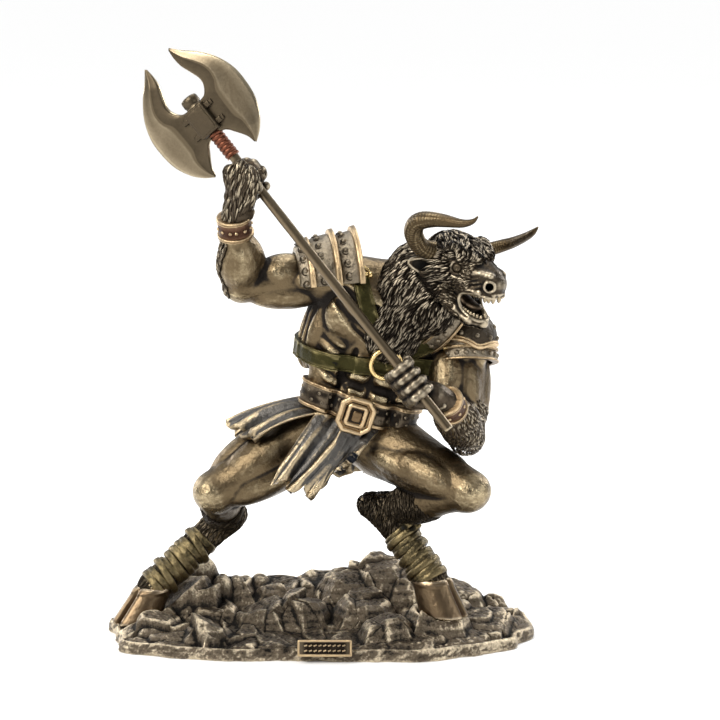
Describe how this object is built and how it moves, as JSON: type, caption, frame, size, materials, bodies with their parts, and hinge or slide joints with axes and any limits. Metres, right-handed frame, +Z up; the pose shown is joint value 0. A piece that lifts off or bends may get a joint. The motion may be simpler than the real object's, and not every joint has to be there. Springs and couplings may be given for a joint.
{
  "type": "minotaur statue",
  "caption": "Cast minotaur figure in armour, lunging on a rocky base with a double-bladed axe held across the body.",
  "frame": {"origin": "middle of the flat underside of the base", "axes": "+Z up; the statue faces -Y, and its own left side is +X"},
  "size_m": [0.2184, 0.1071, 0.2938],
  "materials": {
    "rock_bronze": "dark cold-cast bronze with rubbed edges",
    "figure_bronze": "polished cold-cast bronze, dark in the hollows",
    "axe_bronze": "satin pale bronze",
    "grip_copper": "red copper wash",
    "trim_gold": "copper-gold wash on raised trims and rings",
    "strap_gold": "olive-gold wash",
    "leather_bronze": "dark brown wash over bronze",
    "cloth_bronze": "blue-grey wash over bronze, rubbed at the edges"
  },
  "bodies": {
    "root": {"base": "rock_bronze", "minotaur": "figure_bronze", "axe_shaft": "axe_bronze", "axe_head": "axe_bronze", "axe_grip": "grip_copper"}
  },
  "joints": []
}
